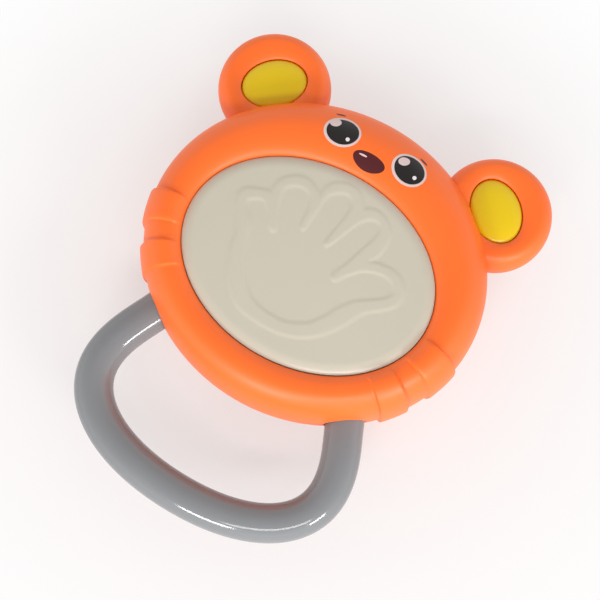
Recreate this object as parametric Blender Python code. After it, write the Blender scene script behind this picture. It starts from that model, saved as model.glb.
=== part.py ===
"""Hand drum for a baby: a bear's head with a sprung drumhead, two ear buttons and a loop handle.

The drum lies on its back. X runs from ear to ear, Y from the handle towards the ears, and Z up,
out of the drumhead. All sizes are millimetres and turn into metres as each mesh is made.
Shapes are written round the middle of the drumhead window, on the plane where the shells part.
"""
import math

import bmesh
import bpy
import numpy
from mathutils import Matrix, Vector

MM = 0.001

# The head's ring: the window that the drumhead fills and the outer edge, both ellipses
WINDOW_A = 47.3
WINDOW_B = 36.4
HEAD_A = 63.6
HEAD_B = 57.35
HEAD_RISE = 5.2
HALF_THICK = 18.4
LIP_Z = 14.8
CREST_SHARE = 0.38
ROUNDNESS = 2.2
SKIRT_FOOT = 11.0
WALL = 2.2
PART_GAP = 0.3
LAND_DROP = 0.2
LAND_WIDTH = 3.0

# Raised grip bands on the lower sides, as angles below the X axis seen from the head's middle
GRIP_RISE = 1.2
GRIP_BANDS = ((8.2, 19.4), (27.0, 37.0))
GRIP_FLANK = 0.9

# Ears
EAR_X = 46.8
EAR_Y = 53.8
EAR_R = 21.0
EAR_HALF = 8.6
EAR_CREST_R = 15.8
EAR_DISH = 6.7
EAR_BACK_R = 11.0
EAR_SKIRT_FOOT = 3.4
EAR_SKIRT_WALL = 1.8
EAR_POST_R = 2.2

# Ear buttons
BUTTON_A = 12.1
BUTTON_B = 9.1
BUTTON_EDGE = 6.2
BUTTON_RISE = 2.4
BUTTON_WALL = 1.7
BUTTON_SKIN = 2.1
BUTTON_FLANGE = 1.6
BUTTON_FLANGE_T = 1.3
BUTTON_STEM_R = 2.2
BUTTON_STEM_DROP = 1.4
BUTTON_TRAVEL = 1.8

# Drumheads
DRUM_FILLET = 3.0
DRUM_TOP = 17.0
DRUM_SKIN = 2.2
DRUM_WALL = 1.8
DRUM_FLANGE = 1.9
DRUM_FLANGE_T = 1.8
DRUM_TRAVEL = 2.0
HAMMER_R = 4.0
PILOT_R = 1.7
PILOT_LENGTH = 5.0

# Child's hand, raised as a band round its outline: finger root, tip and their half widths. It is
# drawn at full size and then fitted to the drumhead's flat, up to a margin past the middle finger
HAND_RISE = 0.5
HAND_MARGIN = 1.1
HAND_BAND = 4.2
PALM_BAND = 5.6
HAND_CENTRE = (-2.5, -4.0)
PALM = (-1.5, -4.5, 20.6, 16.6)
FINGERS = (
    ((-18.3, 0.2), (-26.2, 7.9), 4.6, 2.8),
    ((-11.5, 7.5), (-15.2, 18.0), 4.0, 4.4),
    ((-2.1, 9.5), (-1.3, 23.2), 4.1, 4.4),
    ((7.3, 6.3), (12.4, 21.9), 4.0, 2.9),
    ((13.5, -8.0), (27.2, 5.2), 5.7, 4.0),
)

# Handle: a tube on a smooth loop through its mouths, its widest points and its far end
HANDLE_R = 7.0
HANDLE_WALL = 2.0
HANDLE_REACH = 91.0
HANDLE_HALF_WIDTH = 46.9
HANDLE_WIDEST_Y = -63.5
HANDLE_MOUTH = (37.7, -35.7)
HANDLE_MOUTH_ANGLE = 110.0
HANDLE_END_PULL = 26.7
HANDLE_LOW_PULL = 17.5
HANDLE_HIGH_PULL = 10.6
HANDLE_MOUTH_PULL = 9.1
HANDLE_TAIL = 6.9
HANDLE_BOSS_INSET = 5.4

# Case screws, driven from the back into the front shell's bosses
SIDE_BOSS = (55.3, 0.0)
BROW_BOSS = (31.0, 45.0)
BOSS_R = 3.0
WELL_R = 3.3
WELL_WALL = 1.4
WELL_SEAT = 9.0
WELL_LEDGE = 1.3
CASE_SCREW_R = 1.25
CASE_HEAD_R = 2.6
CASE_HEAD_T = 2.2
CASE_SCREW_REACH = 7.0

# Tray that carries the springs and the bead race, screwed down with the rear drumhead
TRAY_T = 1.8
LUG_X_ABOVE = 22.0
LUG_X_BELOW = 20.0
LUG_OUT = 4.9
LUG_R = 4.0
LUG_TAB = 3.5
LUG_BOSS_R = 2.8
TRAY_SCREW_R = 1.2
TRAY_HEAD_R = 2.4
TRAY_HEAD_T = 1.8
TRAY_SCREW_LENGTH = 8.5
BEAD_R = 4.3
BEAD_PATH_R = 21.5
BEAD_COUNT = 4
BEAD_PLAY = 0.4
RACE_WALL = 1.6
RACE_FLOOR = 0.6
RACE_HEIGHT = 11.3
RIB_T = 1.4
RIB_HEIGHT = 7.0
COVER_T = 1.5
COVER_POST_X = 9.0
COVER_POST_R = 2.8
COVER_SCREW_R = 1.0
COVER_HEAD_R = 2.1
COVER_HEAD_T = 1.5
COVER_SCREW_LENGTH = 8.0

# Springs
SPRING_INSET = 7.8
SPRING_ANGLE = 39.8
SPRING_R = 2.9
SPRING_WIRE_R = 0.45
SPRING_TURNS = 4.5
SPRING_SEAT_R = 4.6
SPRING_SEAT_H = 3.8
EAR_SPRING_R = 3.3
EAR_SPRING_WIRE_R = 0.4
EAR_SPRING_TURNS = 3.5
CURL_POINTS = 8

# Clearances
SEAT_GAP = 0.3
SLIDE_GAP = 0.5
BUTTON_GAP = 0.45
BORE_GAP = 0.35

# Facets, fewer where nobody sees them
COLUMNS = 36
HOLLOW_COLUMNS = 20
LIP_STEPS = 2
FLANK_STEPS = 4
HOLLOW_LIP_STEPS = 2
HOLLOW_FLANK_STEPS = 3
EAR_COLUMNS = 24
EAR_STEPS = 4
EAR_LIP_STEPS = 2
HOLLOW_EAR_COLUMNS = 16
HOLLOW_EAR_STEPS = 3
HOLLOW_EAR_LIP_STEPS = 2
FILLET_STEPS = 3
DOME_STEPS = 3
HAND_POINTS = 64
HAND_SEARCH_STEP = 0.5
HAND_SEARCH_ROUNDS = 12
ROUND_SIDES = 12
RACE_SIDES = 24
SMALL_SIDES = 8
TUBE_SIDES = 12
TUBE_STEPS = 5
BEAD_SEGMENTS = 10
BEAD_RINGS = 7

# How far a cutter runs past what it cuts
OVERSHOOT = 1.0

DRUM_Y = (HANDLE_REACH + HANDLE_R - EAR_Y - EAR_R) / 2
MID_Z = HALF_THICK - LAND_DROP
DRUM_A = WINDOW_A - SLIDE_GAP
DRUM_B = WINDOW_B - SLIDE_GAP
FLANGE_TOP = SKIRT_FOOT - SEAT_GAP
FLANGE_FOOT = FLANGE_TOP - DRUM_FLANGE_T
DRUM_CEILING = DRUM_TOP - DRUM_SKIN
MIDDLE_FINGER = max(FINGERS, key=lambda finger: finger[1][1])
HAND_SPAN = MIDDLE_FINGER[1][1] + MIDDLE_FINGER[3] + HAND_BAND
HAND_SCALE = (DRUM_B - DRUM_FILLET - HAND_MARGIN) / HAND_SPAN
TRAY_FLOOR = -FLANGE_FOOT + SEAT_GAP
TRAY_TOP = TRAY_FLOOR + TRAY_T
COVER_FOOT = TRAY_TOP + RACE_HEIGHT + SEAT_GAP
COVER_TOP = COVER_FOOT + COVER_T
HAMMER_FOOT = COVER_TOP + DRUM_TRAVEL + SEAT_GAP
RACE_IN = BEAD_PATH_R - BEAD_R - BEAD_PLAY
RACE_OUT = BEAD_PATH_R + BEAD_R + BEAD_PLAY
BUTTON_FLANGE_TOP = EAR_SKIRT_FOOT - SEAT_GAP
BUTTON_FOOT = BUTTON_FLANGE_TOP - BUTTON_FLANGE_T
BUTTON_CEILING = BUTTON_EDGE + BUTTON_RISE - BUTTON_SKIN
STEM_FOOT = BUTTON_FOOT - BUTTON_STEM_DROP
POST_TOP = STEM_FOOT - BUTTON_TRAVEL - SEAT_GAP
EAR_TURN = math.atan2(EAR_Y - HEAD_RISE, EAR_X) + math.pi / 2


def start_scene():
    """Empty the scene and make one collection for the drum and one for its cutters."""
    for thing in list(bpy.data.objects):
        bpy.data.objects.remove(thing, do_unlink=True)
    drum = bpy.data.collections.new("bear_hand_drum")
    cutters = bpy.data.collections.new("cutters")
    bpy.context.scene.collection.children.link(drum)
    bpy.context.scene.collection.children.link(cutters)
    return drum, cutters


DRUM, CUTTERS = start_scene()


def plastic(name, colour, roughness, metallic=0.0):
    """A Principled material with one colour."""
    material = bpy.data.materials.new(name)
    material.use_nodes = True
    shader = material.node_tree.nodes["Principled BSDF"]
    shader.inputs["Base Color"].default_value = (*colour, 1.0)
    shader.inputs["Roughness"].default_value = roughness
    shader.inputs["Metallic"].default_value = metallic
    return material


ORANGE = plastic("orange_shell", (0.95, 0.19, 0.04), 0.38)
CREAM = plastic("cream_drumhead", (0.60, 0.56, 0.45), 0.35)
YELLOW = plastic("yellow_button", (0.70, 0.52, 0.02), 0.22)
GREY = plastic("grey_handle", (0.27, 0.28, 0.29), 0.25)
CLEAR_WHITE = plastic("white_inner", (0.80, 0.80, 0.78), 0.5)
BEAD_BLUE = plastic("blue_bead", (0.05, 0.22, 0.60), 0.35)
STEEL = plastic("spring_steel", (0.55, 0.56, 0.58), 0.35, 1.0)


def place(x, y, z):
    """World position of a point given from the window's middle on the parting plane."""
    return Vector((x, y + DRUM_Y, z + MID_Z)) * MM


def add_object(name, mesh, material=None, at=(0.0, 0.0, 0.0)):
    """Link a mesh as a piece of the drum, or as a hidden cutter when it has no material."""
    thing = bpy.data.objects.new(name, mesh)
    thing.location = place(*at)
    if material:
        if not mesh.materials:
            mesh.materials.append(material)
        mesh.shade_smooth()
        mesh.set_sharp_from_angle(angle=math.radians(35))
        DRUM.objects.link(thing)
    else:
        CUTTERS.objects.link(thing)
        thing.hide_render = True
        thing.display_type = "WIRE"
    return thing


def finish_mesh(name, bm):
    """Turn the faces outward, go to metres and store the mesh."""
    bmesh.ops.recalc_face_normals(bm, faces=bm.faces)
    bmesh.ops.scale(bm, vec=(MM, MM, MM), verts=bm.verts)
    mesh = bpy.data.meshes.new(name)
    bm.to_mesh(mesh)
    bm.free()
    return mesh


def boolean(target, tool, operation="DIFFERENCE", solver="EXACT"):
    """Add a Boolean with another object."""
    modifier = target.modifiers.new(operation.lower() + "_" + tool.name, "BOOLEAN")
    modifier.operation = operation
    modifier.solver = solver
    modifier.object = tool


def bridge(bm, lower, upper):
    """Join two rings of equal count with quads."""
    count = len(lower)
    for index in range(count):
        after = (index + 1) % count
        bm.faces.new((lower[index], lower[after], upper[after], upper[index]))


def loft(name, rings, poles=None):
    """Skin a row of rings: closed on itself, or closed by a pole point at each end."""
    bm = bmesh.new()
    loops = [[bm.verts.new(point) for point in ring] for ring in rings]
    for lower, upper in zip(loops, loops[1:]):
        bridge(bm, lower, upper)
    if poles:
        for pole, loop in zip(poles, (loops[0], loops[-1])):
            tip = bm.verts.new(pole)
            for index, corner in enumerate(loop):
                bm.faces.new((corner, loop[(index + 1) % len(loop)], tip))
    else:
        bridge(bm, loops[-1], loops[0])
    bmesh.ops.triangulate(bm, faces=bm.faces)
    return finish_mesh(name, bm)


def ellipse(a, b, z, count, turn=0.0, centre=(0.0, 0.0)):
    """Points of an ellipse whose first axis is turned from X."""
    points = []
    for index in range(count):
        angle = 2 * math.pi * index / count
        u = a * math.cos(angle)
        v = b * math.sin(angle)
        x = centre[0] + u * math.cos(turn) - v * math.sin(turn)
        y = centre[1] + u * math.sin(turn) + v * math.cos(turn)
        points.append((x, y, z))
    return points


def add_prism(bm, x, y, low, high, radius, sides=ROUND_SIDES):
    """Upright cylinder between two heights, added to a mesh in the making."""
    where = Matrix.Translation((x, y, (low + high) / 2))
    bmesh.ops.create_cone(bm, cap_ends=True, segments=sides, radius1=radius, radius2=radius,
                          depth=high - low, matrix=where)


def add_slab(bm, outline, low, high):
    """Upright block on an outline of (x, y) points, added to a mesh in the making."""
    lower = [bm.verts.new((x, y, low)) for x, y in outline]
    upper = [bm.verts.new((x, y, high)) for x, y in outline]
    bm.faces.new(lower)
    bm.faces.new(upper)
    bridge(bm, lower, upper)


def add_turned(bm, profile, x, y, sides=ROUND_SIDES):
    """Spin a profile of (radius, height) points, both ends on the axis, into a solid."""
    points = [bm.verts.new((x + radius, y, z)) for radius, z in profile]
    edges = [bm.edges.new(pair) for pair in zip(points, points[1:])]
    bmesh.ops.spin(bm, geom=points + edges, cent=(x, y, 0.0), axis=(0.0, 0.0, 1.0),
                   angle=2 * math.pi, steps=sides, use_merge=True)
    bmesh.ops.remove_doubles(bm, verts=bm.verts, dist=0.001)


def prisms(name, places, low, high, radius, sides=ROUND_SIDES):
    """One mesh with an upright cylinder at each place."""
    bm = bmesh.new()
    for x, y in places:
        add_prism(bm, x, y, low, high, radius, sides)
    return finish_mesh(name, bm)


def turned(name, places, profile, sides=ROUND_SIDES):
    """One mesh with the same turned solid at each place."""
    bm = bmesh.new()
    for x, y in places:
        add_turned(bm, profile, x, y, sides)
    return finish_mesh(name, bm)


def both_sides(points):
    """The points and their mirror images across the drum's middle."""
    return [(side * x, y) for x, y in points for side in (-1, 1)]


def handle_boss():
    """Where the case screw passes through the handle's end."""
    turn = math.radians(HANDLE_MOUTH_ANGLE)
    along = HANDLE_TAIL - HANDLE_BOSS_INSET
    return (HANDLE_MOUTH[0] + along * math.cos(turn), HANDLE_MOUTH[1] + along * math.sin(turn))


def lug_y(x):
    """How far from the window's middle a lug stands, just outside the drumhead's flange."""
    share = x / (DRUM_A + DRUM_FLANGE)
    return (DRUM_B + DRUM_FLANGE) * math.sqrt(1 - share ** 2) + LUG_OUT


def spring_place(side):
    """A spring's place above or below the middle, an even way in from the drumhead's edge."""
    turn = side * math.radians(SPRING_ANGLE)
    return ((DRUM_A - SPRING_INSET) * math.cos(turn), (DRUM_B - SPRING_INSET) * math.sin(turn))


CASE_BOSSES = both_sides((SIDE_BOSS, BROW_BOSS, handle_boss()))
EARS = both_sides(((EAR_X, EAR_Y),))
LUGS = both_sides(((LUG_X_ABOVE, lug_y(LUG_X_ABOVE)), (LUG_X_BELOW, -lug_y(LUG_X_BELOW))))
COVER_POSTS = both_sides(((COVER_POST_X, 0.0),))
SPRING_PLACES = both_sides((spring_place(1), spring_place(-1)))


def reach(angle, a, b):
    """Distance from the head's middle, along a ray, to an ellipse round the window's middle."""
    across = math.cos(angle) / a
    along = math.sin(angle) / b
    rise = HEAD_RISE / b
    square = across ** 2 + along ** 2
    half = rise * along
    return (-half + math.sqrt(half ** 2 - square * (rise ** 2 - 1))) / square


def outer_reach(angle):
    """Distance from the head's middle to its outer edge."""
    return 1 / math.hypot(math.cos(angle) / HEAD_A, math.sin(angle) / HEAD_B)


def ring_columns():
    """Angles round the head, with two close ones at each edge of a grip band."""
    flank = math.degrees(GRIP_FLANK / HEAD_A) / 2
    edges = []
    for band in GRIP_BANDS:
        for edge in band:
            for offset in (-flank, flank):
                edges += [-(edge + offset), -180 + edge + offset]
    step = 360 / COLUMNS
    even = [-180 + step * index for index in range(COLUMNS)]
    clear = [angle for angle in even if min(abs(angle - edge) for edge in edges) > step / 3]
    return [math.radians(angle) for angle in sorted(clear + edges)]


def grip(angle):
    """How far the grip bands stand up at an angle, from 0 to 1."""
    below = -math.degrees(angle)
    below = min(below, 180 - below)
    flank = math.degrees(GRIP_FLANK / HEAD_A) / 2
    for low, high in GRIP_BANDS:
        if low - flank < below < high + flank:
            inner = min(below - low, high - below)
            return min(1.0, max(0.0, (inner + flank) / (2 * flank)))
    return 0.0


def skin_section(width, shift, lift, back, lip_steps, flank_steps):
    """Skin of the ring as (distance from the window, height), from lip over crest to the edge."""
    crest = CREST_SHARE * width
    points = []
    for step in range(lip_steps):
        angle = math.pi / 2 * step / lip_steps
        height = LIP_Z + (HALF_THICK - LIP_Z) * math.sin(angle)
        points.append((crest * (1 - math.cos(angle)), height))
    for step in range(flank_steps + 1):
        angle = math.pi / 2 * step / flank_steps
        out = math.sin(angle) ** (2 / ROUNDNESS)
        height = HALF_THICK * max(0.0, math.cos(angle)) ** (2 / ROUNDNESS)
        if back and step == 0:
            points.append((crest - LAND_WIDTH / 2, height))
            points.append((crest + LAND_WIDTH / 2, height))
        else:
            points.append((crest + (width - crest) * out, height))
    moved = []
    last = len(points) - 1
    for index, (out, height) in enumerate(points):
        before = points[max(index - 1, 0)]
        after = points[min(index + 1, last)]
        run = (after[0] - before[0], after[1] - before[1])
        length = math.hypot(*run)
        normal = (-run[1] / length, run[0] / length)
        if index == 0:
            normal = (-1.0, 0.0)
        if index == last:
            normal = (1.0, 0.0)
        past_crest = (index - lip_steps - 1) / 2 if back else index / lip_steps
        rise = shift + lift * min(1.0, max(0.0, past_crest))
        height += normal[1] * rise
        if back:
            height = min(height, HALF_THICK - LAND_DROP + min(shift, 0.0))
        moved.append((out + normal[0] * rise, height))
    return moved


def ring_loft(name, side, cavity):
    """Solid of one half of the ring, or of the hollow inside it. side is 1 in front, -1 behind."""
    sections = []
    angles = ring_columns()
    if cavity:
        angles = [2 * math.pi * index / HOLLOW_COLUMNS for index in range(HOLLOW_COLUMNS)]
    for angle in angles:
        width = outer_reach(angle) - reach(angle, WINDOW_A, WINDOW_B)
        if cavity:
            skin = skin_section(width, -WALL, 0.0, side < 0, HOLLOW_LIP_STEPS,
                                HOLLOW_FLANK_STEPS)
            section = [(-WALL, SKIRT_FOOT), (WALL, SKIRT_FOOT)] + skin
            section += [(width - WALL, -WALL), (-WALL, -WALL)]
        else:
            rise = GRIP_RISE * grip(angle)
            skin = skin_section(width, 0.0, rise, side < 0, LIP_STEPS, FLANK_STEPS)
            skin[-1] = (skin[-1][0], PART_GAP / 2)
            section = [(0.0, PART_GAP / 2)] + skin
        sections.append(section)
    rings = []
    for row in zip(*sections):
        ring = []
        for angle, (out, height) in zip(angles, row):
            radius = reach(angle, WINDOW_A, WINDOW_B) + out
            x = radius * math.cos(angle)
            y = HEAD_RISE + radius * math.sin(angle)
            ring.append((x, y, side * height))
        rings.append(ring)
    return loft(name, rings)


def ear_flank(crest_r, depth, steps):
    """Outer round of an ear as (radius, height) from its crest to the parting plane."""
    points = []
    for step in range(steps + 1):
        angle = math.pi / 2 * step / steps
        out = math.sin(angle) ** (2 / ROUNDNESS)
        up = max(0.0, math.cos(angle)) ** (2 / ROUNDNESS)
        radius = crest_r + (EAR_R - crest_r - depth) * out
        points.append((radius, (EAR_HALF - depth) * up))
    return points


def ear_loft(name, centre, side, depth):
    """Solid of half an ear, or of its hollow. The front is dished to an oval for the button."""
    turn = EAR_TURN if centre[0] > 0 else -EAR_TURN
    columns = HOLLOW_EAR_COLUMNS if depth else EAR_COLUMNS
    lip_steps = HOLLOW_EAR_LIP_STEPS if depth else EAR_LIP_STEPS
    steps = HOLLOW_EAR_STEPS if depth else EAR_STEPS
    sizes = []
    if side > 0:
        for step in range(lip_steps):
            angle = math.pi / 2 * step / lip_steps
            blend = 1 - math.cos(angle)
            height = EAR_DISH + (EAR_HALF - EAR_DISH) * math.sin(angle) - depth
            a = BUTTON_A + (EAR_CREST_R - BUTTON_A) * blend
            b = BUTTON_B + (EAR_CREST_R - BUTTON_B) * blend
            sizes.append((a, b, height))
    crest_r = EAR_CREST_R if side > 0 else EAR_BACK_R
    sizes += [(radius, radius, height) for radius, height in ear_flank(crest_r, depth, steps)]
    last = EAR_R - depth
    if depth:
        sizes.append((last, last, -WALL))
    else:
        sizes[-1] = (last, last, PART_GAP / 2)
    rings = [ellipse(a, b, side * z, columns, turn, centre) for a, b, z in sizes]
    poles = ((*centre, rings[0][0][2]), (*centre, rings[-1][0][2]))
    return loft(name, rings, poles)


def oval_prism(name, grow, low, high, centre):
    """Upright oval block round the ear button."""
    turn = EAR_TURN if centre[0] > 0 else -EAR_TURN
    ring = ellipse(BUTTON_A + grow, BUTTON_B + grow, low, EAR_COLUMNS, turn, centre)
    bm = bmesh.new()
    add_slab(bm, [(x, y) for x, y, _ in ring], low, high)
    return finish_mesh(name, bm)


def lugs(name, low, high):
    """Four round lugs, each with a tab back to the drumhead's edge."""
    bm = bmesh.new()
    for x, y in LUGS:
        back = -math.copysign(LUG_TAB, y)
        outline = []
        for corner_x, corner_y, _ in ellipse(LUG_R, LUG_R, 0.0, ROUND_SIDES, 0.0, (x, y)):
            inner = (corner_y - y) * back > SEAT_GAP
            outline.append((corner_x, corner_y + back if inner else corner_y))
        add_slab(bm, outline, low, high)
    return finish_mesh(name, bm)


def handle_axis(side):
    """The straight line of one handle end: the mouth point and the direction into the head."""
    turn = math.radians(HANDLE_MOUTH_ANGLE)
    mouth = Vector((side * HANDLE_MOUTH[0], HANDLE_MOUTH[1], 0.0))
    into = Vector((side * math.cos(turn), math.sin(turn), 0.0))
    return mouth, into


def handle_sockets(name, posts):
    """Cutter for the two holes that the handle enters, kept off the screw posts inside them."""
    bm = bmesh.new()
    for side in (-1, 1):
        mouth, into = handle_axis(side)
        start = mouth - into * HANDLE_R * 2
        end = mouth + into * (HANDLE_TAIL + SEAT_GAP)
        turn = into.to_track_quat("Z", "Y").to_matrix().to_4x4()
        where = Matrix.Translation((start + end) / 2) @ turn
        radius = HANDLE_R + SEAT_GAP
        bmesh.ops.create_cone(bm, cap_ends=True, segments=TUBE_SIDES * 2, radius1=radius,
                              radius2=radius, depth=(end - start).length, matrix=where)
    sockets = add_object(name, finish_mesh(name, bm))
    boolean(sockets, posts)
    return sockets


def front_bosses():
    """Posts under the front skin, and the oval sleeves that guide the ear buttons."""
    top = HALF_THICK + WALL
    posts = add_object("front_posts", prisms("front_posts", CASE_BOSSES, PART_GAP / 2, top, BOSS_R))
    sleeves = []
    for side, centre in zip("lr", EARS):
        grow = BUTTON_GAP + EAR_SKIRT_WALL
        mesh = oval_prism("sleeve_" + side, grow, EAR_SKIRT_FOOT, EAR_HALF + WALL, centre)
        sleeves.append(add_object("sleeve_" + side, mesh))
    return posts, sleeves


def shell(name, side, fittings):
    """One moulded half of the head: its outer form less its hollow, which keeps the fittings."""
    outer = add_object(name, ring_loft(name, side, False), ORANGE)
    hollow = add_object(name + "_hollow", ring_loft(name + "_hollow", side, True))
    for tag, centre in zip("lr", EARS):
        ear = add_object(f"{name}_ear_{tag}", ear_loft(f"{name}_ear_{tag}", centre, side, 0.0))
        room = ear_loft(f"{name}_room_{tag}", centre, side, WALL)
        room = add_object(f"{name}_room_{tag}", room)
        boolean(outer, ear, "UNION", "MANIFOLD")
        boolean(hollow, room, "UNION", "MANIFOLD")
    for fitting in fittings:
        boolean(hollow, fitting, solver="MANIFOLD")
    boolean(outer, hollow, solver="MANIFOLD")
    return outer


def front_shell():
    """Front half: drumhead window, button windows, blind screw bosses and handle mouths."""
    posts, sleeves = front_bosses()
    body = shell("front_shell", 1, [posts] + sleeves)
    for side, centre in zip("lr", EARS):
        mesh = oval_prism("window_" + side, BUTTON_GAP, 0.0, HALF_THICK * 2, centre)
        boolean(body, add_object("window_" + side, mesh), solver="MANIFOLD")
    boolean(body, handle_sockets("front_sockets", posts), solver="MANIFOLD")
    depth = CASE_SCREW_REACH + 2 * SEAT_GAP
    bores = prisms("front_bores", CASE_BOSSES, -WALL, depth, CASE_SCREW_R + SEAT_GAP)
    boolean(body, add_object("front_bores", bores), solver="MANIFOLD")
    return body


def rear_shell():
    """Back half: drumhead window, screw wells, tray bosses, ear posts and handle mouths."""
    deep = -HALF_THICK - WALL
    wells = turned("rear_wells", CASE_BOSSES, (
        (0.0, -PART_GAP / 2), (BOSS_R, -PART_GAP / 2), (BOSS_R, -WELL_SEAT + WELL_LEDGE),
        (WELL_R + WELL_WALL, -WELL_SEAT + WELL_LEDGE), (WELL_R + WELL_WALL, deep), (0.0, deep)))
    wells = add_object("rear_wells", wells)
    tray_bosses = prisms("tray_bosses", LUGS, deep, -SKIRT_FOOT, LUG_BOSS_R)
    tray_bosses = add_object("tray_bosses", tray_bosses)
    ear_posts = prisms("ear_posts", EARS, -EAR_HALF - WALL, POST_TOP, EAR_POST_R)
    ear_posts = add_object("ear_posts", ear_posts)
    body = shell("rear_shell", -1, [wells, tray_bosses, ear_posts])
    boolean(body, handle_sockets("rear_sockets", wells), solver="MANIFOLD")
    bore = CASE_SCREW_R + BORE_GAP
    holes = turned("rear_holes", CASE_BOSSES, (
        (0.0, WALL), (bore, WALL), (bore, -WELL_SEAT), (WELL_R, -WELL_SEAT),
        (WELL_R, deep - WALL), (0.0, deep - WALL)))
    boolean(body, add_object("rear_holes", holes), solver="MANIFOLD")
    foot = TRAY_TOP - TRAY_SCREW_LENGTH - SEAT_GAP
    bores = prisms("tray_bores", LUGS, foot, 0.0, TRAY_SCREW_R + SEAT_GAP)
    boolean(body, add_object("tray_bores", bores), solver="MANIFOLD")
    return body


def drumhead_rings(side):
    """Rings of a drumhead, from its face round the edge and flange to the underside."""
    sizes = []
    for step in range(FILLET_STEPS + 1):
        angle = math.pi / 2 * step / FILLET_STEPS
        inset = DRUM_FILLET * (1 - math.sin(angle))
        sizes.append((-inset, DRUM_TOP - DRUM_FILLET * (1 - math.cos(angle))))
    sizes += [(0.0, FLANGE_TOP), (DRUM_FLANGE, FLANGE_TOP), (DRUM_FLANGE, FLANGE_FOOT)]
    sizes += [(-DRUM_WALL, FLANGE_FOOT), (-DRUM_WALL, DRUM_CEILING - DRUM_SKIN / 2)]
    sizes += [(-DRUM_WALL - DRUM_SKIN, DRUM_CEILING)]
    return [ellipse(DRUM_A + grow, DRUM_B + grow, side * z, COLUMNS) for grow, z in sizes]


def drumhead(name, side):
    """A hard drumhead with a rounded edge, a wall and a flange that the shell's skirt holds."""
    poles = ((0.0, 0.0, side * DRUM_TOP), (0.0, 0.0, side * DRUM_CEILING))
    rings = drumhead_rings(side)
    return add_object(name, loft(name, rings, poles), CREAM)


def hand_distance(x, y, band, palm_band):
    """Signed distance of a point from the hand's outline, grown by a band."""
    px, py, a, b = PALM
    shape = (math.hypot((x - px) / a, (y - py) / b) - 1) * min(a, b) - palm_band
    for (x0, y0), (x1, y1), root, tip in FINGERS:
        run = (x1 - x0, y1 - y0)
        along = ((x - x0) * run[0] + (y - y0) * run[1]) / (run[0] ** 2 + run[1] ** 2)
        along = min(1.0, max(0.0, along))
        gap = math.hypot(x - x0 - along * run[0], y - y0 - along * run[1])
        shape = min(shape, gap - root - along * (tip - root) - band)
    return shape


def hand_contour(z, band, palm_band):
    """Outline of the hand, found along rays from the palm as drawn, then fitted."""
    points = []
    for index in range(HAND_POINTS):
        angle = 2 * math.pi * index / HAND_POINTS
        across = math.cos(angle)
        along = math.sin(angle)
        near = 0.0
        for out in numpy.arange(DRUM_A, 0.0, -HAND_SEARCH_STEP):
            if hand_distance(HAND_CENTRE[0] + out * across, HAND_CENTRE[1] + out * along,
                             band, palm_band) < 0:
                near = float(out)
                break
        far = near + HAND_SEARCH_STEP
        for _ in range(HAND_SEARCH_ROUNDS):
            middle = (near + far) / 2
            point = (HAND_CENTRE[0] + middle * across, HAND_CENTRE[1] + middle * along)
            if hand_distance(*point, band, palm_band) < 0:
                near = middle
            else:
                far = middle
        points.append((HAND_SCALE * (HAND_CENTRE[0] + near * across),
                       HAND_SCALE * (HAND_CENTRE[1] + near * along), z))
    return points


def front_drumhead():
    """Sprung drumhead with the raised hand, a hammer in the middle and a pilot at each spring."""
    head = drumhead("front_drumhead", 1)
    sunk = DRUM_TOP - DRUM_SKIN / 2
    raised = DRUM_TOP + HAND_RISE
    outline = loft("hand_band", [
        hand_contour(sunk, HAND_BAND, PALM_BAND), hand_contour(raised, HAND_BAND, PALM_BAND),
        hand_contour(raised, 0.0, 0.0), hand_contour(sunk, 0.0, 0.0)])
    boolean(head, add_object("hand_band", outline), "UNION", "MANIFOLD")
    bm = bmesh.new()
    add_prism(bm, 0.0, 0.0, HAMMER_FOOT, sunk, HAMMER_R)
    for x, y in SPRING_PLACES:
        add_prism(bm, x, y, DRUM_CEILING - PILOT_LENGTH, sunk, PILOT_R, SMALL_SIDES)
    posts = add_object("drumhead_posts", finish_mesh("drumhead_posts", bm))
    boolean(head, posts, "UNION", "MANIFOLD")
    return head


def rear_drumhead():
    """Plain drumhead at the back, held by its lugs under the tray screws."""
    head = drumhead("rear_drumhead", -1)
    mesh = lugs("rear_lugs", -FLANGE_TOP, -FLANGE_FOOT)
    boolean(head, add_object("rear_lugs", mesh), "UNION")
    low = -SKIRT_FOOT - OVERSHOOT
    holes = prisms("rear_lug_holes", LUGS, low, TRAY_TOP, TRAY_SCREW_R + BORE_GAP)
    boolean(head, add_object("rear_lug_holes", holes))
    return head


def race(foot):
    """Round trough for the beads, with ribs across it halfway between them."""
    floor = TRAY_TOP + RACE_FLOOR
    top = TRAY_TOP + RACE_HEIGHT
    section = (
        (RACE_IN - RACE_WALL, foot), (RACE_OUT + RACE_WALL, foot), (RACE_OUT + RACE_WALL, top),
        (RACE_OUT, top), (RACE_OUT, floor), (RACE_IN, floor), (RACE_IN, top),
        (RACE_IN - RACE_WALL, top))
    rings = [ellipse(radius, radius, z, RACE_SIDES) for radius, z in section]
    trough = add_object("race", loft("race", rings))
    bm = bmesh.new()
    low = floor - RACE_FLOOR / 2
    high = floor + RIB_HEIGHT
    for index in range(BEAD_COUNT):
        angle = 2 * math.pi * (index + 0.5) / BEAD_COUNT
        turn = Matrix.Rotation(angle, 4, "Z")
        along = Matrix.Translation((BEAD_PATH_R, 0.0, (low + high) / 2))
        size = Matrix.Diagonal((RACE_OUT - RACE_IN + RACE_WALL, RIB_T, high - low, 1.0))
        bmesh.ops.create_cube(bm, size=1.0, matrix=turn @ along @ size)
    boolean(trough, add_object("race_ribs", finish_mesh("race_ribs", bm)), "UNION")
    return trough


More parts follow.
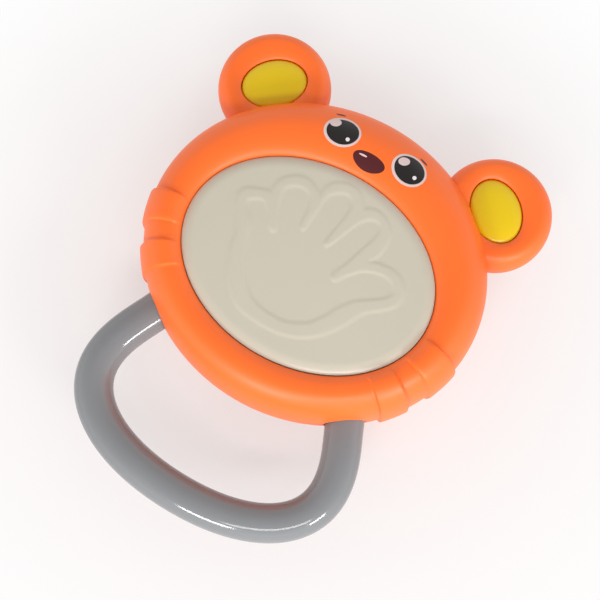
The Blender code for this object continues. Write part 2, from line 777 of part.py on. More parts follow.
def sound_tray():
    """Plate with the bead race, four spring seats and two cover posts."""
    sizes = (DRUM_A + DRUM_FLANGE, DRUM_B + DRUM_FLANGE)
    rings = [ellipse(*sizes, z, COLUMNS) for z in (TRAY_FLOOR, TRAY_TOP)]
    mesh = loft("sound_tray", rings, ((0.0, 0.0, TRAY_FLOOR), (0.0, 0.0, TRAY_TOP)))
    tray = add_object("sound_tray", mesh, CLEAR_WHITE)
    boolean(tray, add_object("tray_lugs", lugs("tray_lugs", TRAY_FLOOR, TRAY_TOP)), "UNION")
    boolean(tray, race(TRAY_TOP - TRAY_T / 2), "UNION")
    bm = bmesh.new()
    sunk = TRAY_TOP - TRAY_T * 2 / 3
    for x, y in SPRING_PLACES:
        seat = TRAY_TOP + SPRING_SEAT_H
        add_turned(bm, ((0.0, seat + PILOT_LENGTH), (PILOT_R, seat + PILOT_LENGTH),
                        (PILOT_R, seat), (SPRING_SEAT_R, seat), (SPRING_SEAT_R, sunk),
                        (0.0, sunk)), x, y)
    top = TRAY_TOP + RACE_HEIGHT
    for x, y in COVER_POSTS:
        add_prism(bm, x, y, sunk, top, COVER_POST_R)
    boolean(tray, add_object("tray_posts", finish_mesh("tray_posts", bm)), "UNION")
    bm = bmesh.new()
    for x, y in LUGS:
        add_prism(bm, x, y, TRAY_FLOOR - OVERSHOOT, TRAY_TOP + OVERSHOOT,
                  TRAY_SCREW_R + BORE_GAP)
    for x, y in COVER_POSTS:
        add_prism(bm, x, y, top - COVER_SCREW_LENGTH, top + OVERSHOOT,
                  COVER_SCREW_R + SEAT_GAP, SMALL_SIDES)
    boolean(tray, add_object("tray_holes", finish_mesh("tray_holes", bm)))
    return tray


def bead_cover():
    """Disc over the bead race that the hammer strikes."""
    radius = RACE_OUT + RACE_WALL
    mesh = prisms("bead_cover", [(0.0, 0.0)], COVER_FOOT, COVER_TOP, radius, RACE_SIDES)
    cover = add_object("bead_cover", mesh, CLEAR_WHITE)
    holes = prisms("cover_holes", COVER_POSTS, COVER_FOOT - OVERSHOOT, COVER_TOP + OVERSHOOT,
                   COVER_SCREW_R + BORE_GAP)
    boolean(cover, add_object("cover_holes", holes))
    return cover


def rattle_beads():
    """Loose beads, each in its own stretch of the race, hung from a pivot on the race's axis."""
    height = TRAY_TOP + RACE_FLOOR + SEAT_GAP + BEAD_R
    for index in range(BEAD_COUNT):
        pivot = bpy.data.objects.new(f"bead_pivot_{index + 1}", None)
        pivot.location = place(0.0, 0.0, height)
        DRUM.objects.link(pivot)
        bm = bmesh.new()
        bmesh.ops.create_uvsphere(bm, u_segments=BEAD_SEGMENTS, v_segments=BEAD_RINGS,
                                  radius=BEAD_R)
        bead = add_object(f"rattle_bead_{index + 1}", finish_mesh("bead", bm), BEAD_BLUE)
        angle = 2 * math.pi * index / BEAD_COUNT
        bead.parent = pivot
        arm = Vector((BEAD_PATH_R * math.cos(angle), BEAD_PATH_R * math.sin(angle), 0.0))
        bead.location = arm * MM


def coil(name, centre, foot, head, radius, wire_r, turns):
    """Compression spring as one unbroken wire between two seats."""
    curve = bpy.data.curves.new(name, "CURVE")
    curve.dimensions = "3D"
    curve.bevel_depth = wire_r * MM
    curve.bevel_resolution = 0
    curve.render_resolution_u = 0
    curve.use_fill_caps = True
    low = foot + SEAT_GAP + wire_r
    high = head - SEAT_GAP - wire_r
    count = round(turns * CURL_POINTS) + 1
    spline = curve.splines.new("POLY")
    spline.points.add(count - 1)
    for index, point in enumerate(spline.points):
        share = index / (count - 1)
        angle = 2 * math.pi * turns * share
        where = (radius * math.cos(angle), radius * math.sin(angle), (high - low) * share)
        point.co = (*(Vector(where) * MM), 1.0)
    spring = bpy.data.objects.new(name, curve)
    spring.location = place(*centre, low)
    curve.materials.append(STEEL)
    DRUM.objects.link(spring)
    gap = (high - low) / turns - 2 * wire_r
    print(f"{name}: least gap between turns {gap:.2f} mm")
    return spring


def springs():
    """Four springs under the drumhead and one under each ear button."""
    seat = TRAY_TOP + SPRING_SEAT_H
    for index, centre in enumerate(SPRING_PLACES):
        coil(f"drumhead_spring_{index + 1}", centre, seat, DRUM_CEILING, SPRING_R,
             SPRING_WIRE_R, SPRING_TURNS)
    floor = -EAR_HALF + WALL
    for name, centre in zip(("left", "right"), EARS):
        coil("ear_spring_" + name, centre, floor, BUTTON_CEILING - SEAT_GAP, EAR_SPRING_R,
             EAR_SPRING_WIRE_R, EAR_SPRING_TURNS)


def ear_button(name, centre):
    """Domed oval cap with a flange below the ear's sleeve and a stem down its spring."""
    turn = EAR_TURN if centre[0] > 0 else -EAR_TURN
    sizes = []
    for step in range(1, DOME_STEPS + 1):
        angle = math.pi / 2 * step / DOME_STEPS
        share = math.sin(angle) ** (2 / ROUNDNESS)
        height = BUTTON_EDGE + BUTTON_RISE * max(0.0, math.cos(angle)) ** (2 / ROUNDNESS)
        sizes.append((BUTTON_A * share, BUTTON_B * share, height))
    for grow, z in ((0.0, BUTTON_FLANGE_TOP), (BUTTON_FLANGE, BUTTON_FLANGE_TOP),
                    (BUTTON_FLANGE, BUTTON_FOOT), (-BUTTON_WALL, BUTTON_FOOT),
                    (-BUTTON_WALL, BUTTON_CEILING - BUTTON_WALL / 2)):
        sizes.append((BUTTON_A + grow, BUTTON_B + grow, z))
    rings = [ellipse(a, b, z, EAR_COLUMNS, turn) for a, b, z in sizes]
    poles = ((0.0, 0.0, BUTTON_EDGE + BUTTON_RISE), (0.0, 0.0, BUTTON_CEILING))
    button = add_object(name, loft(name, rings, poles), YELLOW, (*centre, 0.0))
    stem = prisms(name + "_stem", [(0.0, 0.0)], STEM_FOOT, BUTTON_CEILING + BUTTON_WALL / 2,
                  BUTTON_STEM_R, SMALL_SIDES)
    boolean(button, add_object(name + "_stem", stem, at=(*centre, 0.0)), "UNION")
    return button


def loop_path():
    """Bezier points of the handle's centre line, each with its two pulls."""
    turn = math.radians(HANDLE_MOUTH_ANGLE)
    into = (math.cos(turn), math.sin(turn))
    mx, my = HANDLE_MOUTH
    tail = (mx + HANDLE_TAIL * into[0], my + HANDLE_TAIL * into[1])
    pull = HANDLE_MOUTH_PULL
    right = [
        ((0.0, -HANDLE_REACH), (-HANDLE_END_PULL, -HANDLE_REACH), (HANDLE_END_PULL, -HANDLE_REACH)),
        ((HANDLE_HALF_WIDTH, HANDLE_WIDEST_Y),
         (HANDLE_HALF_WIDTH, HANDLE_WIDEST_Y - HANDLE_LOW_PULL),
         (HANDLE_HALF_WIDTH, HANDLE_WIDEST_Y + HANDLE_HIGH_PULL)),
        ((mx, my), (mx - pull * into[0], my - pull * into[1]),
         (mx + HANDLE_TAIL / 3 * into[0], my + HANDLE_TAIL / 3 * into[1])),
        (tail, (mx + HANDLE_TAIL * 2 / 3 * into[0], my + HANDLE_TAIL * 2 / 3 * into[1]), tail),
    ]
    left = []
    for knot, back, ahead in reversed(right[1:]):
        left.append(tuple((-x, y) for x, y in (knot, ahead, back)))
    return left + right


def handle_tube(name, radius, trim):
    """Tube along the handle's centre line as a closed mesh, its ends trimmed back."""
    curve = bpy.data.curves.new(name, "CURVE")
    curve.dimensions = "3D"
    curve.bevel_depth = radius * MM
    curve.bevel_resolution = TUBE_SIDES // 4 - 1
    curve.resolution_u = TUBE_STEPS
    curve.render_resolution_u = 0
    curve.use_fill_caps = True
    path = loop_path()
    spline = curve.splines.new("BEZIER")
    spline.bezier_points.add(len(path) - 1)
    for knot, (middle, back, ahead) in zip(spline.bezier_points, path):
        knot.co = Vector((*middle, 0.0)) * MM
        knot.handle_left = Vector((*back, 0.0)) * MM
        knot.handle_right = Vector((*ahead, 0.0)) * MM
    for knot in (spline.bezier_points[0], spline.bezier_points[-1]):
        side = 1 if knot.co.x > 0 else -1
        _, into = handle_axis(side)
        shift = into * trim * MM
        knot.co -= shift
        knot.handle_left -= shift
        knot.handle_right -= shift
    guide = bpy.data.objects.new(name + "_guide", curve)
    bpy.context.scene.collection.objects.link(guide)
    bpy.context.view_layer.update()
    evaluated = guide.evaluated_get(bpy.context.evaluated_depsgraph_get())
    mesh = bpy.data.meshes.new_from_object(evaluated)
    bpy.data.objects.remove(guide, do_unlink=True)
    bm = bmesh.new()
    bm.from_mesh(mesh)
    bmesh.ops.remove_doubles(bm, verts=bm.verts, dist=1e-6)
    bmesh.ops.scale(bm, vec=(1 / MM, 1 / MM, 1 / MM), verts=bm.verts)
    return finish_mesh(name, bm)


def handle_half(name, side):
    """One moulded half of the handle, open at the parting plane and holed for the screw posts."""
    half = add_object(name, handle_tube(name, HANDLE_R, 0.0), GREY)
    bore = handle_tube(name + "_bore", HANDLE_R - HANDLE_WALL, HANDLE_WALL)
    boolean(half, add_object(name + "_bore", bore))
    low, high = sorted((side * PART_GAP / 2, -side * HANDLE_R * 2))
    bm = bmesh.new()
    size = Matrix.Diagonal((HANDLE_REACH * 3, HANDLE_REACH * 3, high - low, 1.0))
    where = Matrix.Translation((0.0, -HANDLE_REACH / 2, (low + high) / 2))
    bmesh.ops.create_cube(bm, size=1.0, matrix=where @ size)
    boolean(half, add_object(name + "_other_side", finish_mesh(name + "_other_side", bm)))
    bosses = both_sides((handle_boss(),))
    holes = prisms(name + "_holes", bosses, -HANDLE_R * 2, HANDLE_R * 2, BOSS_R + BORE_GAP)
    boolean(half, add_object(name + "_holes", holes))
    return half


def screws(name, places, seat, heading, head_r, head_t, shank_r, length):
    """A row of identical screws, each with a flat head on its seat and a plain shank."""
    mesh = turned(name, [(0.0, 0.0)], (
        (0.0, -heading * head_t), (head_r, -heading * head_t), (head_r, 0.0), (shank_r, 0.0),
        (shank_r, heading * (length - shank_r)), (0.0, heading * length)), SMALL_SIDES)
    for index, (x, y) in enumerate(places):
        add_object(f"{name}_{index + 1}", mesh, STEEL, (x, y, seat))


def fasteners():
    """Six case screws, four tray screws and two cover screws."""
    seat = -WELL_SEAT - SEAT_GAP
    screws("case_screw", CASE_BOSSES, seat, 1, CASE_HEAD_R, CASE_HEAD_T, CASE_SCREW_R,
           CASE_SCREW_REACH - seat)
    screws("tray_screw", LUGS, TRAY_TOP + SEAT_GAP, -1, TRAY_HEAD_R, TRAY_HEAD_T,
           TRAY_SCREW_R, TRAY_SCREW_LENGTH)
    screws("cover_screw", COVER_POSTS, COVER_TOP + SEAT_GAP, -1, COVER_HEAD_R, COVER_HEAD_T,
           COVER_SCREW_R, COVER_SCREW_LENGTH)


def build():
    front_shell()
    rear_shell()
    front_drumhead()
    rear_drumhead()
    sound_tray()
    bead_cover()
    rattle_beads()
    springs()
    for name, centre in zip(("left", "right"), EARS):
        ear_button("ear_button_" + name, centre)
    handle_half("handle_front_half", 1)
    handle_half("handle_rear_half", -1)
    fasteners()
    bpy.context.view_layer.update()


build()
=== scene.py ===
"""Baby's hand drum: a bear's head with a sprung drumhead, two ear buttons and a loop handle."""
import math

import bpy
import numpy
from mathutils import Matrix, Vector


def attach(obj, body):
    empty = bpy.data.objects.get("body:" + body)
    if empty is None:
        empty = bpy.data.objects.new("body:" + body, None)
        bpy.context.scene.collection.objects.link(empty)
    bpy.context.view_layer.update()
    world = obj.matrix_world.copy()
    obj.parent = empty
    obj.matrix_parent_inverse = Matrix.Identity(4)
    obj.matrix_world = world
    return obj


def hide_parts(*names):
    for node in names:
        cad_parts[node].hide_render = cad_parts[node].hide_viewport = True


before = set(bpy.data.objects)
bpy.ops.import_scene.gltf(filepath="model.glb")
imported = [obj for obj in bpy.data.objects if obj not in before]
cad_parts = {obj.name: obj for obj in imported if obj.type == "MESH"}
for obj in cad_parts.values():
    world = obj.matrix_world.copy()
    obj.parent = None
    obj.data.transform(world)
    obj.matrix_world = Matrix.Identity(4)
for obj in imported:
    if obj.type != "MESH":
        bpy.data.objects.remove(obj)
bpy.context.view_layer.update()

# Rear shell
# Back half of the bear's head. Orange ABS from an injection mould, 2.2 mm thick, with a window
# for the rear drumhead, a deep well for each case screw and half of each handle socket.
# Sizes are in millimetres, from the window's middle on the line where the two shells part.

MM = 0.001
WINDOW_MIDDLE = (0.0, 11.6, 18.2)
WINDOW = (47.3, 36.4)
HEAD = (63.6, 57.35)
HEAD_RISE = 5.2
CREST_SHARE = 0.38
LIP_Z = 14.8
CREST_Z = 18.4
ROUND = 2 / 2.2
SKIN = 2.2
SKIRT_Z = 11.0
SEAM = 0.13
LAND = 18.2
GRIPS = ((8.2, 19.4), (27.0, 37.0))
GRIP_RISE = 1.2
GRIP_EDGE = 0.85
EAR = (46.8, 53.8)
EAR_R = 21.0
EAR_Z = 8.6
EAR_CREST_R = 15.8
EAR_BACK_R = 11.0
EAR_DISH_Z = 6.7
BUTTON = (12.1, 9.1)
EAR_TURN = math.atan2(EAR[1] - HEAD_RISE, EAR[0]) + math.pi / 2
HANDLE_R = 7.0
HANDLE_MOUTH = (37.7, -35.7)
HANDLE_AIM = math.radians(110.0)
HANDLE_TAIL = 6.9
SOCKET_GAP = 0.3
BOSSES = ((55.3, 0.0), (31.0, 45.0), (37.187, -34.29))
POST_R = 3.0
WELL_R = 3.3
WELL_WALL = 1.4
WELL_SEAT_Z = -9.0
WELL_ROOF_Z = -7.7
SCREW_BORE_R = 1.6
SLEEVE = 2.25
SLEEVE_FOOT_Z = 3.4
BELOW, ABOVE = -22.0, 22.0
RING_COLUMNS = 600
EAR_COLUMNS = 120


def only(piece):
    """Selects one piece and makes it the active one."""
    bpy.ops.object.select_all(action="DESELECT")
    piece.select_set(True)
    bpy.context.view_layer.objects.active = piece


def extrude_ovals(name, ovals, columns):
    """A circle extruded through a row of ovals, each its half length, half width, y and z."""
    bpy.ops.object.select_all(action="DESELECT")
    bpy.ops.mesh.primitive_circle_add(vertices=columns, radius=MM)
    piece = bpy.context.object
    piece.name = name
    piece.data.name = name
    bpy.ops.object.mode_set(mode="EDIT")
    bpy.ops.mesh.select_mode(type="EDGE")
    bpy.ops.mesh.select_all(action="SELECT")
    before = (1.0, 1.0, 0.0, 0.0)
    for index, oval in enumerate(ovals):
        if index:
            bpy.ops.mesh.extrude_edges_move()
        bpy.ops.transform.resize(value=(oval[0] / before[0], oval[1] / before[1], 1.0),
                                 center_override=(0.0, before[2] * MM, before[3] * MM))
        bpy.ops.transform.translate(value=(0.0, (oval[2] - before[2]) * MM,
                                           (oval[3] - before[3]) * MM))
        before = oval
    bpy.ops.object.mode_set(mode="OBJECT")
    return piece


def close(piece, as_ring=False, upside_down=False, turn=0.0, at=(0.0, 0.0)):
    """Closes an open row of ovals, turns it and sets it down in its place on the drum."""
    only(piece)
    bpy.ops.object.mode_set(mode="EDIT")
    bpy.ops.mesh.select_all(action="DESELECT")
    bpy.ops.mesh.select_non_manifold()
    if as_ring:
        bpy.ops.mesh.bridge_edge_loops()
    else:
        bpy.ops.mesh.fill_holes(sides=0)
    bpy.ops.mesh.select_all(action="SELECT")
    if upside_down:
        bpy.ops.transform.resize(value=(1.0, 1.0, -1.0), center_override=(0.0, 0.0, 0.0))
    bpy.ops.transform.rotate(value=-turn, orient_axis="Z", center_override=(0.0, 0.0, 0.0))
    bpy.ops.transform.translate(value=[(a + b) * MM for a, b in zip(WINDOW_MIDDLE, (*at, 0.0))])
    bpy.ops.mesh.normals_make_consistent(inside=False)
    bpy.ops.object.mode_set(mode="OBJECT")
    return piece


def boolean(piece, tools, operation="DIFFERENCE"):
    """Cuts the piece by tools that don't touch each other, or joins them on, and throws them away."""
    only(tools[0])
    for tool in tools[1:]:
        tool.select_set(True)
    bpy.ops.object.join()
    tool = tools[0]
    only(piece)
    step = piece.modifiers.new("step", "BOOLEAN")
    step.operation = operation
    step.solver = "MANIFOLD"
    step.object = tool
    bpy.ops.object.modifier_apply(modifier="step")
    bpy.data.objects.remove(tool)


def smooth(piece, degrees=32):
    """Shades the piece smooth, but for its corners."""
    only(piece)
    bpy.ops.object.shade_smooth_by_angle(angle=math.radians(degrees))


def ring_oval(share, grow, z):
    """Oval at a share of the way from the window's edge to the head's edge, grown evenly."""
    return (WINDOW[0] + share * (HEAD[0] - WINDOW[0]) + grow,
            WINDOW[1] + share * (HEAD[1] - WINDOW[1]) + grow, HEAD_RISE * share, z)


def skin_ovals(depth, lip_steps, flank_steps, flat_z=CREST_Z):
    """The ring's skin from its lip over its crest to the parting line, at a depth inside it."""
    ovals = []
    for step in range(lip_steps):
        turn = math.pi / 2 * step / lip_steps
        ovals.append(ring_oval(CREST_SHARE * (1 - math.cos(turn)), depth * math.cos(turn),
                               LIP_Z + (flat_z - LIP_Z - depth) * math.sin(turn)))
    for step in range(flank_steps + 1):
        turn = math.pi / 2 * step / flank_steps
        out = CREST_SHARE + (1 - CREST_SHARE) * math.sin(turn) ** ROUND
        up = max(0.0, math.cos(turn)) ** ROUND
        ovals.append(ring_oval(out, -depth * math.sin(turn), min(CREST_Z * up, flat_z) - depth * up))
    return ovals


def true_columns(piece, ovals, columns):
    """Slides each point along its oval until the columns run straight out from the head's middle."""
    for index, point in enumerate(piece.data.vertices):
        a, b, y, _ = ovals[index // columns]
        angle = 2 * math.pi * (index % columns) / columns
        across, along, rise = math.cos(angle) / a, math.sin(angle) / b, (HEAD_RISE - y) / b
        square = across ** 2 + along ** 2
        half = rise * along
        out = (-half + math.sqrt(half ** 2 - square * (rise ** 2 - 1))) / square
        point.co.x = out * math.cos(angle) * MM
        point.co.y = (HEAD_RISE + out * math.sin(angle)) * MM


def ease(value):
    """Turns a slope from 0 to 1 into a soft step."""
    value = min(1.0, max(0.0, value))
    return value * value * (3 - 2 * value)


def raise_grips(piece, ovals, columns, flat_z):
    """Lifts the four grip bands: sharp at their sides, fading out towards the window."""
    group = piece.vertex_groups.new(name="grips")
    for index in range(len(piece.data.vertices)):
        below = -math.degrees(2 * math.pi * (index % columns) / columns - 2 * math.pi)
        below = min(below, 180 - below)
        share = (ovals[index // columns][0] - WINDOW[0]) / (HEAD[0] - WINDOW[0])
        for low, high in GRIPS:
            inside = min(below - low, high - below) / GRIP_EDGE + 0.5
            if inside > 0 and share > 0:
                group.add([index], ease(inside) * ease(share / CREST_SHARE), "REPLACE")
    only(piece)
    bpy.ops.object.mode_set(mode="EDIT")
    bpy.ops.mesh.select_all(action="SELECT")
    bpy.ops.mesh.flip_normals()
    bpy.ops.object.mode_set(mode="OBJECT")
    lift = piece.modifiers.new("lift", "DISPLACE")
    lift.vertex_group = group.name
    lift.strength = GRIP_RISE * MM
    lift.mid_level = 0.0
    bpy.ops.object.modifier_apply(modifier="lift")
    piece.vertex_groups.clear()
    for point in piece.data.vertices:
        point.co.z = min(point.co.z, flat_z * MM)


def ring_half(name, rear):
    """One solid half of the head's ring, with its grip bands. The back one is flat where it rests."""
    top = LAND if rear else CREST_Z + GRIP_RISE
    ovals = [ring_oval(0.0, 0.0, SEAM)] + skin_ovals(0.0, 8, 18, min(top, CREST_Z))
    ovals[-1] = ring_oval(1.0, 0.0, SEAM)
    piece = extrude_ovals(name, ovals, RING_COLUMNS)
    true_columns(piece, ovals, RING_COLUMNS)
    raise_grips(piece, ovals, RING_COLUMNS, top)
    return close(piece, as_ring=True, upside_down=rear)


def ring_hollow(name, rear):
    """The hollow inside half of the ring, down from its skin and in under the window's skirt."""
    ovals = [ring_oval(0.0, -SKIN, SKIRT_Z), ring_oval(0.0, SKIN, SKIRT_Z)]
    ovals += skin_ovals(SKIN, 4, 10, LAND if rear else CREST_Z)
    ovals[-1] = ring_oval(1.0, -SKIN, -SKIN)
    ovals += [ring_oval(0.0, -SKIN, -SKIN)]
    return close(extrude_ovals(name, ovals, 120), as_ring=True, upside_down=rear)


def ear_half(name, side, rear, depth=0.0):
    """One solid half of an ear, or its hollow. The front is dished down to the button's oval."""
    ovals = []
    if not rear:
        for step in range(10):
            turn = math.pi / 2 * step / 10
            spread = 1 - math.cos(turn)
            ovals.append((BUTTON[0] + (EAR_CREST_R - BUTTON[0]) * spread,
                          BUTTON[1] + (EAR_CREST_R - BUTTON[1]) * spread, 0.0,
                          EAR_DISH_Z + (EAR_Z - EAR_DISH_Z) * math.sin(turn) - depth))
    crest = EAR_BACK_R if rear else EAR_CREST_R
    for step in range(17):
        turn = math.pi / 2 * step / 16
        radius = crest + (EAR_R - crest - depth) * math.sin(turn) ** ROUND
        ovals.append((radius, radius, 0.0, (EAR_Z - depth) * max(0.0, math.cos(turn)) ** ROUND))
    ovals[-1] = (EAR_R - depth, EAR_R - depth, 0.0, -SKIN if depth else SEAM)
    return close(extrude_ovals(name, ovals, EAR_COLUMNS), upside_down=rear, turn=side * EAR_TURN,
                 at=(side * EAR[0], EAR[1]))


def rod(name, radius, low, high, at, columns=48):
    """An upright rod between two heights."""
    ovals = [(radius, radius, 0.0, z) for z in (low, high)]
    return close(extrude_ovals(name, ovals, columns), at=at)


def oval_plug(name, side, grow, low, high):
    """An upright block on an ear button's oval."""
    ovals = [(BUTTON[0] + grow, BUTTON[1] + grow, 0.0, z) for z in (low, high)]
    return close(extrude_ovals(name, ovals, EAR_COLUMNS), turn=side * EAR_TURN,
                 at=(side * EAR[0], EAR[1]))


def handle_socket(name, side):
    """The round hole in which one end of the handle sits."""
    reach = 2 * HANDLE_R + HANDLE_TAIL + SOCKET_GAP
    aim = Vector((side * math.cos(HANDLE_AIM), math.sin(HANDLE_AIM), 0.0))
    mouth = Vector((side * HANDLE_MOUTH[0], HANDLE_MOUTH[1], 0.0))
    middle = mouth + aim * (HANDLE_TAIL + SOCKET_GAP - reach / 2)
    bpy.ops.object.select_all(action="DESELECT")
    bpy.ops.mesh.primitive_cylinder_add(
        vertices=96, radius=(HANDLE_R + SOCKET_GAP) * MM, depth=reach * MM,
        location=(middle + Vector(WINDOW_MIDDLE)) * MM, rotation=aim.to_track_quat("Z", "Y").to_euler())
    piece = bpy.context.object
    piece.name = name
    bpy.ops.object.transform_apply(location=True, rotation=True, scale=True)
    return piece


def head_half(name, rear):
    """A moulded half of the head: ring and ears joined, then hollowed round its screw posts."""
    piece = ring_half(name, rear)
    hollow = ring_hollow("hollow", rear)
    sides, low, high = (-1, 1), (-8.0 if rear else 0.0), (0.0 if rear else ABOVE)
    places = [(side * x, y) for x, y in BOSSES for side in sides]
    boolean(piece, [ear_half("ear", side, rear) for side in sides], "UNION")
    boolean(hollow, [ear_half("room", side, rear, SKIN) for side in sides], "UNION")
    boolean(hollow, [rod("post", POST_R, low, high, place) for place in places])
    if rear:
        boolean(hollow, [rod("well", WELL_R + WELL_WALL, BELOW, WELL_ROOF_Z, place)
                         for place in places])
    else:
        boolean(hollow, [oval_plug("sleeve", side, SLEEVE, SLEEVE_FOOT_Z, EAR_Z + SKIN)
                         for side in sides])
    boolean(piece, [hollow])
    sockets = [handle_socket("socket", side) for side in sides]
    for socket, place in zip(sockets, places[-2:]):
        boolean(socket, [rod("post", POST_R, low, high, place)])
    boolean(piece, sockets)
    return piece


rear_shell = head_half("rear_head_shell", True)
places = [(side * x, y) for x, y in BOSSES for side in (-1, 1)]
boolean(rear_shell, [rod("bore", SCREW_BORE_R, -12.0, 2.0, place, 24) for place in places])
boolean(rear_shell, [rod("well", WELL_R, BELOW, WELL_SEAT_Z, place) for place in places])
smooth(rear_shell)


def moulded_surface():
    """Node group for moulded plastic: cloudy tone, uneven gloss and the mould's fine texture."""
    group = bpy.data.node_groups.new("moulded_surface", "ShaderNodeTree")
    for name, kind in (("Gloss", "NodeSocketFloat"), ("Gloss Spread", "NodeSocketFloat"),
                       ("Texture", "NodeSocketFloat")):
        group.interface.new_socket(name, in_out="INPUT", socket_type=kind)
    for name, kind in (("Tone", "NodeSocketFloat"), ("Roughness", "NodeSocketFloat"),
                       ("Normal", "NodeSocketVector")):
        group.interface.new_socket(name, in_out="OUTPUT", socket_type=kind)
    nodes, links = group.nodes, group.links
    inside, outside = nodes.new("NodeGroupInput"), nodes.new("NodeGroupOutput")
    place = nodes.new("ShaderNodeTexCoord")
    cloud, haze, grain = (nodes.new("ShaderNodeTexNoise") for _ in range(3))
    for noise, scale, detail in ((cloud, 26.0, 2.0), (haze, 140.0, 4.0), (grain, 1900.0, 3.0)):
        noise.inputs["Scale"].default_value = scale
        noise.inputs["Detail"].default_value = detail
        links.new(place.outputs["Object"], noise.inputs["Vector"])
    links.new(cloud.outputs["Fac"], outside.inputs["Tone"])
    spread = nodes.new("ShaderNodeMath")
    spread.operation = "MULTIPLY_ADD"
    links.new(haze.outputs["Fac"], spread.inputs[0])
    links.new(inside.outputs["Gloss Spread"], spread.inputs[1])
    links.new(inside.outputs["Gloss"], spread.inputs[2])
    links.new(spread.outputs["Value"], outside.inputs["Roughness"])
    bump = nodes.new("ShaderNodeBump")
    bump.inputs["Distance"].default_value = 0.00002
    links.new(inside.outputs["Texture"], bump.inputs["Strength"])
    links.new(grain.outputs["Fac"], bump.inputs["Height"])
    links.new(bump.outputs["Normal"], outside.inputs["Normal"])
    return group


MOULDED = moulded_surface()


def moulded_plastic(name, light, dark, gloss, spread, texture, band=(0.35, 0.65), metal=0.0):
    """A material whose colour wanders between two tones over a band of the cloudy noise."""
    material = bpy.data.materials.new(name)
    material.use_nodes = True
    nodes, links = material.node_tree.nodes, material.node_tree.links
    shader = nodes["Principled BSDF"]
    surface = nodes.new("ShaderNodeGroup")
    surface.node_tree = MOULDED
    surface.inputs["Gloss"].default_value = gloss
    surface.inputs["Gloss Spread"].default_value = spread
    surface.inputs["Texture"].default_value = texture
    tones = nodes.new("ShaderNodeValToRGB")
    for element, position, tone in zip(tones.color_ramp.elements, band, (dark, light)):
        element.position = position
        element.color = (*tone, 1.0)
    links.new(surface.outputs["Tone"], tones.inputs["Fac"])
    links.new(tones.outputs["Color"], shader.inputs["Base Color"])
    links.new(surface.outputs["Roughness"], shader.inputs["Roughness"])
    links.new(surface.outputs["Normal"], shader.inputs["Normal"])
    shader.inputs["Metallic"].default_value = metal
    return material


def finish(piece, material, slot, body, *nodes):
    """Gives a piece its material and its body, and hides the CAD nodes it stands for. The slot is not
    used.
    """
    piece.data.materials.clear()
    piece.data.materials.append(material)
    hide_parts(*nodes)
    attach(piece, body)


ORANGE = moulded_plastic("orange_abs", (1.0, 0.163, 0.019), (0.98, 0.153, 0.016), 0.38, 0.10, 0.5)
finish(rear_shell, ORANGE, "orange_shell", "body", "rear_shell")

# Rear drumhead
# A plain cream oval plate with a rounded edge. Its flange lies against the inside of the
# window's skirt, and the tray screws hold it there.

DRUM = (47.16, 36.26)
DRUM_Z = 17.0
DRUM_EDGE = 4.2
DRUM_TILT = math.radians(35.0)
FLANGE_Z = 10.7
FLANGE_FOOT_Z = 8.9
FLANGE = 1.6
DRUM_WALL = 1.8
CEILING_Z = 14.85
DRUM_COLUMNS = 400


def drum_ovals(top_steps):
    """A drumhead's skin from its middle over the rounded edge and flange to its underside."""
    ovals = []
    for step in range(1, top_steps + 1):
        share = step / top_steps
        ovals.append(((DRUM[0] - DRUM_EDGE) * share, (DRUM[1] - DRUM_EDGE) * share, 0.0, DRUM_Z))
    bend = DRUM_EDGE / math.sin(DRUM_TILT)
    for step in range(1, 11):
        turn = DRUM_TILT * step / 10
        inset = DRUM_EDGE - bend * math.sin(turn)
        ovals.append((DRUM[0] - inset, DRUM[1] - inset, 0.0, DRUM_Z - bend * (1 - math.cos(turn))))
    for grow, z in ((0.0, FLANGE_Z), (FLANGE, FLANGE_Z), (FLANGE, FLANGE_FOOT_Z),
                    (-DRUM_WALL, FLANGE_FOOT_Z), (-DRUM_WALL, CEILING_Z - 1.0),
                    (-DRUM_WALL - 1.0, CEILING_Z)):
        ovals.append((DRUM[0] + grow, DRUM[1] + grow, 0.0, z))
    return ovals


rear_drumhead = close(extrude_ovals("rear_drum_plate", drum_ovals(4), 240), upside_down=True)
smooth(rear_drumhead)
CREAM = moulded_plastic("cream_abs", (0.575, 0.53, 0.43), (0.565, 0.52, 0.42), 0.19, 0.08, 0.25)
finish(rear_drumhead, CREAM, "cream_drumhead", "body", "rear_drumhead")

# Sound tray, beads and springs
# Inside the head: a white plate with a round race for four blue beads, a cover over the race
# that the drumhead's hammer taps, and coil springs. They are the CAD solids, refinished.

WHITE = moulded_plastic("white_abs", (0.80, 0.80, 0.78), (0.77, 0.77, 0.75), 0.42, 0.12, 0.6)
BLUE = moulded_plastic("blue_bead_plastic", (0.05, 0.23, 0.62), (0.045, 0.20, 0.55), 0.25, 0.10, 0.3)
STEEL = moulded_plastic("plated_wire", (0.64, 0.65, 0.67), (0.46, 0.47, 0.49), 0.22, 0.22, 0.8,
                        band=(0.0, 1.0), metal=1.0)
INNER_FINISH = {"sound_tray": WHITE, "bead_cover": WHITE, "rattle_bead": BLUE,
                "drumhead_spring": STEEL, "ear_spring": STEEL, "tray_screw": STEEL,
                "cover_screw": STEEL}
for name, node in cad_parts.items():
    for start, material in INNER_FINISH.items():
        if name.startswith(start):
            node.data.materials.clear()
            node.data.materials.append(material)

# Front drumhead
# The cream plate that a baby pats: one moulding with the outline of a child's hand raised
# 0.3 mm, a hammer underneath, and a flange that stops it against the skirt.

